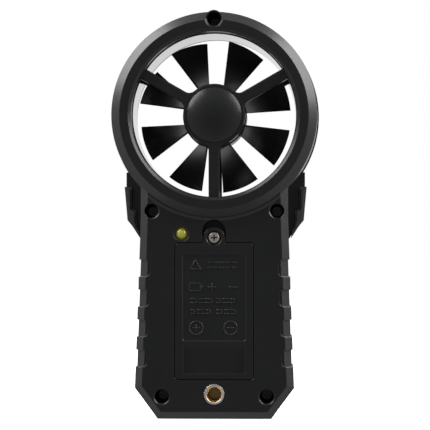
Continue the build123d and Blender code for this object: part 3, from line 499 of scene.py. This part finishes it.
class ANEMOMETER_OT_insert(bpy.types.Operator):
    """Tripod insert with a knurled flange and a real thread in its bore"""
    bl_idname = "anemometer.insert"
    bl_label = "Tripod insert"

    teeth = 34
    points_per_tooth = 4
    tooth_depth = 0.28 * MM
    barrel_r = 3.5 * MM
    flange_thick = 1.0 * MM
    flange_crown = 0.32 * MM
    crest_r = 2.58 * MM
    root_r = 3.05 * MM
    floor_thick = 1.0 * MM
    lead_in = 0.9 * MM          # plain bore above the thread
    ridge_half = 0.46           # half width of the thread's ridge at its root, in pitches
    crest_half = 0.07
    ridge_sink = 0.02 * MM
    steps_per_turn = 40

    def execute(self, context):
        given = context.scene.anemometer_metal
        low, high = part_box("tripod_insert")
        centre = box_middle("tripod_insert")
        nickel = metal("insert_nickel", given.nickel, 0.38, 0.35 * MM)
        brass = metal("insert_brass", given.brass, 0.28, 0.35 * MM)
        bore_depth = high.y - low.y - self.floor_thick
        # Painted shade: the brass darkens down the bore towards its bottom.
        paint_recess_shade(brass, high.y, bore_depth, high.y - low.y, given.bore_shade)
        bm = bmesh.new()
        flange_r = (high.x - low.x) / 2
        self.add_body(bm, low.y, high.y, flange_r)
        self.knurl(bm, flange_r)
        self.add_thread(bm, low.y + self.floor_thick, high.y - self.lead_in, given.thread_pitch)
        bmesh.ops.translate(bm, verts=bm.verts, vec=(centre.x, 0, centre.z))
        insert = finish_mesh(bm, "tripod_socket", nickel, CASE_BODY, 35.0)
        insert.data.materials.append(brass)
        for face in insert.data.polygons:
            reach = Vector((face.center.x - centre.x, face.center.z - centre.z)).length
            face.material_index = 1 if reach < self.root_r + 0.05 * MM else 0
        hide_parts("tripod_insert")
        return {"FINISHED"}

    def add_body(self, bm, low_y, high_y, flange_r):
        under_y = high_y - self.flange_thick
        middle_r = (self.root_r + flange_r) / 2
        half = middle_r - self.root_r
        crown = [(middle_r + half * sin(turn), high_y - self.flange_crown * (1 - cos(turn)))
                 for turn in (radians(angle) for angle in range(-90, 91, 15))]
        profile = [(0.0, low_y + self.floor_thick), (self.root_r, low_y + self.floor_thick), *crown,
                   (flange_r, under_y), (self.barrel_r, under_y), (self.barrel_r, low_y), (0.0, low_y)]
        lathe(bm, profile, Vector((0, 0, 0)), steps=self.points_per_tooth * self.teeth)

    def knurl(self, bm, flange_r):
        """Moves every other pair of points of the rim inwards, which leaves the teeth."""
        step = 2 * pi / (self.points_per_tooth * self.teeth)
        for vert in bm.verts:
            radius = Vector((vert.co.x, vert.co.z)).length
            if radius > flange_r - 0.1 * MM:
                index = round(atan2(vert.co.z, vert.co.x) / step) % self.points_per_tooth
                if index >= self.points_per_tooth / 2:
                    scale = (radius - self.tooth_depth) / radius
                    vert.co.x *= scale
                    vert.co.z *= scale

    def add_thread(self, bm, from_y, to_y, pitch):
        """Helical ridge: a blunt triangle swept round the bore as it climbs."""
        turns = int((to_y - from_y) / pitch) - 1
        half, crest = pitch * self.ridge_half, pitch * self.crest_half
        foot_r = self.root_r + self.ridge_sink
        loop = [(foot_r, -half), (self.crest_r, -crest), (self.crest_r, crest), (foot_r, half)]
        verts = [bm.verts.new((r, from_y + half + y, 0)) for r, y in loop]
        edges = [bm.edges.new((verts[i - 1], verts[i])) for i in range(len(verts))]
        before = set(bm.verts) - set(verts)
        bmesh.ops.spin(bm, geom=verts + edges, cent=(0, 0, 0), axis=(0, 1, 0), angle=2 * pi * turns,
                       dvec=(0, pitch / self.steps_per_turn, 0), steps=self.steps_per_turn * turns,
                       use_merge=False)
        made = [v for v in bm.verts if v not in before]
        ends = list({e for v in made for e in v.link_edges if e.is_boundary})
        bmesh.ops.holes_fill(bm, edges=ends, sides=0)


class ANEMOMETER_OT_light_sensor(bpy.types.Operator):
    """Light sensor: a clear yellow-green dome over its reflector cup"""
    bl_idname = "anemometer.light_sensor"
    bl_label = "Light sensor"

    dome_r = 2.5 * MM
    dome_start = 6              # degrees up the dome where it meets the straight body
    body_depth = 4.4 * MM
    flange_r = 2.9 * MM
    flange_thick = 1.0 * MM
    lead_pitch = 2.54 * MM
    lead_thick = 0.5 * MM

    def execute(self, context):
        low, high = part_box("light_sensor")
        centre = box_middle("light_sensor")
        glowing_resin = self.resin_with_painted_glow(centre)
        dome_y = high.y - self.dome_r
        base_y = dome_y - self.body_depth
        profile = [(0.0, base_y), (self.flange_r, base_y), (self.flange_r, base_y + self.flange_thick),
                   (self.dome_r, base_y + self.flange_thick), (self.dome_r, dome_y)]
        profile += arc_points((0.0, dome_y), self.dome_start, 90, self.dome_r, 14)
        bm = bmesh.new()
        lathe(bm, profile, Vector((0, 0, 0)), steps=64)
        for side in (-1, 1):
            middle = Vector((side * self.lead_pitch / 2, (low.y + base_y) / 2, 0))
            shape = Matrix.Diagonal((self.lead_thick, base_y - low.y, self.lead_thick, 1))
            bmesh.ops.create_cube(bm, size=1.0, matrix=Matrix.Translation(middle) @ shape)
        bmesh.ops.translate(bm, verts=bm.verts, vec=(centre.x, 0, centre.z))
        sensor = finish_mesh(bm, "light_sensor_dome", glowing_resin, CASE_BODY)
        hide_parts("light_sensor")
        return {"FINISHED"}

    def resin_with_painted_glow(self, centre):
        """Cast resin with a painted glow: paler over the middle of the cup below it, darker towards its
        rim.
        """
        material, shader = new_material("sensor_yellow")
        tree = material.node_tree
        place = tree.nodes.new("ShaderNodeTexCoord")
        flat = tree.nodes.new("ShaderNodeMapping")
        flat.inputs["Location"].default_value = (-centre.x, 0, -centre.z)
        flat.inputs["Scale"].default_value = (1, 0, 1)
        reach = node(tree, "ShaderNodeVectorMath", operation="LENGTH")
        speckle = node(tree, "ShaderNodeTexNoise", scale=1400.0, detail=3.0, roughness=0.6)
        ramp = tree.nodes.new("ShaderNodeValToRGB")
        # Painted glow and shade: pale yellow over the middle, dark at the rim.
        ramp.color_ramp.elements[0].color = (0.52, 0.51, 0.10, 1)
        ramp.color_ramp.elements[1].color = (0.22, 0.21, 0.02, 1)
        middle = ramp.color_ramp.elements.new(0.62)
        middle.color = (0.45, 0.44, 0.05, 1)
        scaled = node(tree, "ShaderNodeMath", operation="MULTIPLY")
        scaled.inputs[1].default_value = 1 / self.dome_r
        mixed = node(tree, "ShaderNodeMath", operation="MULTIPLY_ADD")
        mixed.inputs[1].default_value = 0.22
        tree.links.new(place.outputs["Object"], flat.inputs["Vector"])
        tree.links.new(flat.outputs["Vector"], reach.inputs[0])
        tree.links.new(reach.outputs["Value"], scaled.inputs[0])
        tree.links.new(place.outputs["Object"], speckle.inputs["Vector"])
        tree.links.new(speckle.outputs["Fac"], mixed.inputs[0])
        tree.links.new(scaled.outputs[0], mixed.inputs[2])
        tree.links.new(mixed.outputs[0], ramp.inputs["Fac"])
        tree.links.new(ramp.outputs["Color"], shader.inputs["Base Color"])
        shader.inputs["Roughness"].default_value = 0.12
        shader.inputs["Coat Weight"].default_value = 1.0
        shader.inputs["Coat Roughness"].default_value = 0.05
        # Painted glow: the resin emits its own colour though it is no lamp.
        shader.inputs["Emission Strength"].default_value = 0.16
        tree.links.new(ramp.outputs["Color"], shader.inputs["Emission Color"])
        return material


class ANEMOMETER_OT_door_marks(bpy.types.Operator):
    """Raised plain marks on the battery door, placed in mm from the middle of its lower edge"""
    bl_idname = "anemometer.door_marks"
    bl_label = "Door marks"

    panel_drop = 0.35 * MM
    sink = 0.02 * MM
    rise = 0.32 * MM
    stroke = 0.42 * MM
    line_half = 0.75 * MM       # half the gap between the two lines of a row of bars
    bar_gap = 1.0 * MM
    ring_r = 2.7 * MM
    ring_z = 22.4

    def execute(self, context):
        given = context.scene.anemometer_case
        face_y = DOOR_HIGH.y - self.panel_drop - self.sink
        # Painted highlight: the marks are the door's own plastic made three times lighter, for the light
        # their rounded strokes catch.
        painted_highlight_colour = [3.0 * value for value in given.plastic]
        plastic = grained("door_mark_plastic", painted_highlight_colour, given.roughness - 0.10, 0.3 * MM, 0.004 * MM,
                          edge=0.15 * MM)
        bm = bmesh.new()
        self.add_arrow_row(bm, face_y)
        self.add_battery_row(bm, face_y)
        for z, groups in ((33.3, ((2.2, 1.5, 2.6), (1.5, 2.2, 1.5))),
                          (28.9, ((1.5, 2.6, 1.5), (2.2, 1.5, 1.9)))):
            for first_x, lengths in zip((9.2, -1.0), groups):
                self.add_bars(bm, face_y, *mm(first_x, z), mm(*lengths))
        self.add_polarity_rings(bm, face_y)
        bmesh.ops.translate(bm, verts=bm.verts, vec=((DOOR_LOW.x + DOOR_HIGH.x) / 2, 0, DOOR_LOW.z))
        marks = finish_mesh(bm, "door_marks", plastic, DOOR_BODY, 60.0)
        return {"FINISHED"}

    def bar(self, bm, face_y, start, end):
        raised_bar(bm, mm(*start), mm(*end), self.stroke, face_y, self.rise)

    def add_arrow_row(self, bm, face_y):
        """Open arrow and two broken lines."""
        corners = [mm(9.6, 46.1), mm(5.4, 46.1), mm(7.5, 49.7)]
        raised_outline(bm, corners, self.stroke, face_y, self.rise)
        for index in range(5):
            x = 2.6 - index * 2.5
            for z in (46.7, 48.7):
                self.bar(bm, face_y, (x, z), (x - 1.4, z))

    def add_battery_row(self, bm, face_y):
        """Outline of a battery with its button, then a plus and a minus."""
        corners = [mm(10.0, 37.3), mm(5.6, 37.3), mm(5.6, 40.3), mm(10.0, 40.3)]
        raised_outline(bm, corners, self.stroke, face_y, self.rise)
        self.bar(bm, face_y, (4.9, 38.3), (4.9, 39.3))
        self.bar(bm, face_y, (2.4, 38.8), (-0.4, 38.8))
        self.bar(bm, face_y, (1.0, 37.5), (1.0, 40.1))
        self.bar(bm, face_y, (-6.2, 38.8), (-9.0, 38.8))

    def add_bars(self, bm, face_y, first_x, z, lengths):
        """Row of short bars in two lines, joined by an upright at the end of every other one."""
        x = first_x
        low_z, high_z = z - self.line_half, z + self.line_half
        for index, long in enumerate(lengths):
            for line_z in (low_z, high_z):
                raised_bar(bm, (x, line_z), (x - long, line_z), self.stroke, face_y, self.rise)
            if index % 2 == 0:
                raised_bar(bm, (x - long, low_z), (x - long, high_z), self.stroke, face_y, self.rise)
            x -= long + self.bar_gap

    def add_polarity_rings(self, bm, face_y):
        """A plus and a minus, each in a ring."""
        for x, crossed in ((7.2, True), (-6.6, False)):
            raised_ring(bm, mm(x, self.ring_z), self.ring_r, self.stroke, face_y, self.rise)
            self.bar(bm, face_y, (x - 1.3, self.ring_z), (x + 1.3, self.ring_z))
            if crossed:
                self.bar(bm, face_y, (x, self.ring_z - 1.3), (x, self.ring_z + 1.3))


class ANEMOMETER_OT_display(bpy.types.Operator):
    """Display window, glass with its digits, and the keys' finish and symbols"""
    bl_idname = "anemometer.display"
    bl_label = "Display and keys"

    print_thick = 0.08 * MM
    print_sink = 0.01 * MM
    digit_thick = 0.05 * MM

    def execute(self, context):
        lens, shader = new_material("window_clear")
        shader.inputs["Base Color"].default_value = (0.9, 0.92, 0.93, 1.0)
        shader.inputs["Roughness"].default_value = 0.03
        shader.inputs["Transmission Weight"].default_value = 1.0
        shader.inputs["IOR"].default_value = 1.49
        paint(lens, "display_window")
        glass = grained("lcd_grey", (0.30, 0.35, 0.27), 0.20, 0.8 * MM, 0.001 * MM, mottle=0.03)
        paint(glass, "lcd_glass")
        rubber = grained("key_grey", (0.06, 0.065, 0.07), 0.55, 0.3 * MM, 0.010 * MM, edge=0.3 * MM)
        paint(rubber, *KEY_NAMES)
        self.add_digits()
        ink = grained("key_ink", (0.75, 0.76, 0.76), 0.45, 0.2 * MM, 0.004 * MM, mottle=0.05)
        symbols = (self.power, self.hold, self.light, self.mode, self.units, self.max_min)
        for key, symbol in zip(KEY_NAMES, symbols):
            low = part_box(key)[0]
            middle = box_middle(key)
            bm = bmesh.new()
            symbol(bm, low.y + self.print_sink)
            bmesh.ops.translate(bm, verts=bm.verts, vec=(middle.x, 0, middle.z))
            mark = finish_mesh(bm, key + "_symbol", ink, key, 30.0)
        return {"FINISHED"}

    def stroke(self, bm, face_y, start, end, width=0.5):
        raised_bar(bm, mm(*start), mm(*end), width * MM, face_y, -self.print_thick)

    def power(self, bm, face_y):
        raised_ring(bm, (0, 0), 1.7 * MM, 0.5 * MM, face_y, -self.print_thick, radians(290),
                    radians(125))
        self.stroke(bm, face_y, (0, 0.4), (0, 2.2))

    def hold(self, bm, face_y):
        for x in (-0.9, 0.9):
            self.stroke(bm, face_y, (x, -1.3), (x, 1.3), 0.8)

    def light(self, bm, face_y):
        raised_ring(bm, (0, 0), 0.95 * MM, 0.45 * MM, face_y, -self.print_thick)
        for index in range(8):
            turn = index * pi / 4
            self.stroke(bm, face_y, (1.75 * cos(turn), 1.75 * sin(turn)),
                        (2.25 * cos(turn), 2.25 * sin(turn)), 0.4)

    def mode(self, bm, face_y):
        for z in (-1.2, 0.0, 1.2):
            self.stroke(bm, face_y, (-1.8, z), (1.8, z))

    def units(self, bm, face_y):
        for side in (-1, 1):
            z = 0.8 * side
            self.stroke(bm, face_y, (-2.0, z), (2.0, z), 0.45)
            self.stroke(bm, face_y, (2.0 * side, z), (1.2 * side, z + 0.8 * side), 0.45)

    def max_min(self, bm, face_y):
        for x, side in ((-1.7, 1), (1.7, -1)):
            corners = [mm(x - 1.2, -0.9 * side), mm(x + 1.2, -0.9 * side), mm(x, 1.2 * side)]
            raised_patch(bm, corners, face_y, -self.print_thick)

    def add_digits(self):
        """Seven-segment reading and plain status bars on the front of the glass."""
        low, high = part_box("lcd_glass")
        middle = box_middle("lcd_glass")
        dark = grained("lcd_segment", (0.012, 0.014, 0.012), 0.4, 0.3 * MM, 0.001 * MM, mottle=0.05)
        bm = bmesh.new()
        for x in (-9.5, 1.0, 11.5):
            self.add_zero(bm, low.y, x, 0.5)
        self.segment(bm, low.y, (6.2, -5.4), (6.3, -5.4), 1.0)
        for index in range(4):
            x = -16.0 + index * 1.3
            self.segment(bm, low.y, (x, 9.4), (x, 9.9 + 0.5 * index), 0.7)
        bmesh.ops.translate(bm, verts=bm.verts, vec=(middle.x, 0, middle.z))
        digits = finish_mesh(bm, "lcd_reading", dark, CASE_BODY, 30.0)

    def segment(self, bm, face_y, start, end, width):
        raised_bar(bm, mm(*start), mm(*end), width * MM, face_y, -self.digit_thick)

    def add_zero(self, bm, face_y, x, z):
        """The six outer segments of a seven-segment digit, about its middle."""
        wide, high, width, gap = 3.2, 5.4, 1.1, 0.75
        for side in (-1, 1):
            self.segment(bm, face_y, (x - wide + gap, z + side * high), (x + wide - gap, z + side * high),
                         width)
            for half in (-1, 1):
                self.segment(bm, face_y, (x + side * wide, z + half * gap),
                             (x + side * wide, z + half * (high - gap)), width)


class ANEMOMETER_OT_inside(bpy.types.Operator):
    """Finish of the parts inside the case"""
    bl_idname = "anemometer.inside"
    bl_label = "Inside"

    def execute(self, context):
        board = grained("board_green", (0.02, 0.13, 0.06), 0.30, 0.8 * MM, 0.01 * MM, mottle=0.10)
        paint(board, "circuit_board", "sensor_board")
        chip = grained("chip_black", (0.02, 0.02, 0.02), 0.5, 0.2 * MM, 0.01 * MM)
        paint(chip, "processor_chip", "hall_sensor", "battery_snap")
        amber = grained("ribbon_amber", (0.45, 0.22, 0.04), 0.25, 0.6 * MM, 0.002 * MM)
        paint(amber, "sensor_ribbon")
        label = grained("battery_label", (0.03, 0.035, 0.05), 0.3, 1.0 * MM, 0.004 * MM)
        paint(label, "battery")
        foam = grained("foam_grey", (0.12, 0.12, 0.13), 0.9, 0.8 * MM, 0.15 * MM)
        paint(foam, "battery_foam")
        red = grained("lead_pvc", (0.30, 0.02, 0.02), 0.35, 0.8 * MM, 0.004 * MM)
        paint(red, "battery_leads")
        white = grained("backlight_white", (0.7, 0.7, 0.68), 0.3, 0.8 * MM, 0.004 * MM)
        paint(white, "lcd_backlight")
        strip = grained("connector_rubber", (0.15, 0.15, 0.17), 0.6, 0.2 * MM, 0.02 * MM)
        paint(strip, "lcd_connector")
        switch = grained("switch_steel", (0.5, 0.5, 0.52), 0.3, 0.5 * MM, 0.004 * MM, Metallic=1.0)
        paint(switch, "key_switches")
        return {"FINISHED"}


class ANEMOMETER_OT_studio(bpy.types.Operator):
    """Pale floor, soft light and the camera"""
    bl_idname = "anemometer.studio"
    bl_label = "Studio"

    softbox_places = ((0.72, 0.07, 0.76), (-0.80, 0.07, 0.65))
    softbox_size = (0.7, 0.75)
    floor_half = 4.0
    floor_drop = 0.02 * MM
    fill_from, fill_to = -0.5, 0.95      # where the surround fades, from behind to the camera's side
    aim_x, aim_z = -0.5 * MM, 82.0 * MM
    camera_shift = (-28.0 * MM, -16.5 * MM)

    def execute(self, context):
        given = context.scene.anemometer_studio
        low, high = CAD_BOX
        self.add_floor(low.z)
        self.add_surround(given)
        context.scene.view_settings.view_transform = "Standard"
        for place in self.softbox_places:
            self.add_softbox(Vector(place), given.softbox)
        self.add_camera(given, Vector((self.aim_x, high.y, self.aim_z)))
        return {"FINISHED"}

    def add_floor(self, floor_z):
        material, shader = new_material("floor_pale")
        shader.inputs["Base Color"].default_value = (0.9, 0.9, 0.9, 1.0)
        shader.inputs["Roughness"].default_value = 0.8
        shader.inputs["Emission Color"].default_value = (1.0, 1.0, 1.0, 1.0)
        shader.inputs["Emission Strength"].default_value = 0.75
        bm = bmesh.new()
        bmesh.ops.create_grid(bm, x_segments=1, y_segments=1, size=self.floor_half)
        bmesh.ops.translate(bm, verts=bm.verts, vec=(0, 0, floor_z - self.floor_drop))
        mesh = bpy.data.meshes.new("floor")
        bm.to_mesh(mesh)
        bm.free()
        floor = bpy.data.objects.new("floor", mesh)
        mesh.materials.append(material)
        bpy.context.scene.collection.objects.link(floor)
        floor.visible_diffuse = False
        floor.visible_glossy = False

    def add_surround(self, given):
        """White all round for the eye, and bright behind the object but dim in front for its gloss."""
        world = bpy.data.worlds.new("surround")
        bpy.context.scene.world = world
        world.use_nodes = True
        tree = world.node_tree
        tree.nodes.clear()
        output = tree.nodes.new("ShaderNodeOutputWorld")
        place = tree.nodes.new("ShaderNodeTexCoord")
        split = tree.nodes.new("ShaderNodeSeparateXYZ")
        tree.links.new(place.outputs["Generated"], split.inputs[0])
        fade = tree.nodes.new("ShaderNodeMapRange")
        fade.inputs["From Min"].default_value = self.fill_from
        fade.inputs["From Max"].default_value = self.fill_to
        fade.inputs["To Min"].default_value = given.surround
        fade.inputs["To Max"].default_value = given.fill
        tree.links.new(split.outputs["Y"], fade.inputs["Value"])
        dim = tree.nodes.new("ShaderNodeBackground")
        tree.links.new(fade.outputs["Result"], dim.inputs["Strength"])
        white = node(tree, "ShaderNodeBackground", strength=1.0)
        white.inputs["Color"].default_value = (1.0, 1.0, 1.0, 1.0)
        eye = tree.nodes.new("ShaderNodeLightPath")
        mix = tree.nodes.new("ShaderNodeMixShader")
        tree.links.new(eye.outputs["Is Camera Ray"], mix.inputs["Fac"])
        tree.links.new(dim.outputs[0], mix.inputs[1])
        tree.links.new(white.outputs[0], mix.inputs[2])
        tree.links.new(mix.outputs[0], output.inputs["Surface"])

    def add_softbox(self, place, power):
        data = bpy.data.lights.new("softbox", "AREA")
        data.shape = "RECTANGLE"
        data.size, data.size_y = self.softbox_size
        data.energy = power
        lamp = bpy.data.objects.new("softbox", data)
        lamp.location = place
        lamp.rotation_euler = (place - DUCT_AXIS).to_track_quat("Z", "Y").to_euler()
        lamp.visible_camera = False
        bpy.context.scene.collection.objects.link(lamp)

    def add_camera(self, given, aim):
        data = bpy.data.cameras.new("camera")
        camera = bpy.data.objects.new("camera", data)
        bpy.context.scene.collection.objects.link(camera)
        camera.location = aim + Vector((self.camera_shift[0], given.distance, self.camera_shift[1]))
        away = camera.location - aim
        camera.rotation_euler = away.to_track_quat("Z", "Y").to_euler()
        data.sensor_width = 36.0
        data.lens = data.sensor_width * away.length / given.view_width
        data.clip_start = 0.01
        bpy.context.scene.camera = camera


class ANEMOMETER_PT_panel(bpy.types.Panel):
    """Settings and steps of the anemometer"""
    bl_idname = "ANEMOMETER_PT_panel"
    bl_label = "Vane Anemometer"
    bl_space_type = "VIEW_3D"
    bl_region_type = "UI"
    bl_category = "Anemometer"

    def draw(self, context):
        layout = self.layout
        for name in SETTINGS:
            group = getattr(context.scene, name)
            column = layout.column(align=True)
            for key in group.bl_rna.properties.keys():
                if key not in {"rna_type", "name"}:
                    column.prop(group, key)
        for step in STEPS:
            layout.operator(step.bl_idname)


SETTINGS = {
    "anemometer_case": CaseSettings,
    "anemometer_impeller": ImpellerSettings,
    "anemometer_metal": MetalSettings,
    "anemometer_studio": StudioSettings,
}
STEPS = (
    ANEMOMETER_OT_case,
    ANEMOMETER_OT_impeller,
    ANEMOMETER_OT_fittings,
    ANEMOMETER_OT_insert,
    ANEMOMETER_OT_light_sensor,
    ANEMOMETER_OT_door_marks,
    ANEMOMETER_OT_display,
    ANEMOMETER_OT_inside,
    ANEMOMETER_OT_studio,
)


def register():
    for kind in (*SETTINGS.values(), *STEPS, ANEMOMETER_PT_panel):
        bpy.utils.register_class(kind)
    for name, kind in SETTINGS.items():
        setattr(bpy.types.Scene, name, PointerProperty(type=kind))


def unregister():
    for name in SETTINGS:
        delattr(bpy.types.Scene, name)
    for kind in (ANEMOMETER_PT_panel, *reversed(STEPS), *reversed(SETTINGS.values())):
        bpy.utils.unregister_class(kind)


def main():
    register()
    for step in STEPS:
        getattr(bpy.ops.anemometer, step.bl_idname.split(".")[1])()


if __name__ == "__main__":
    main()
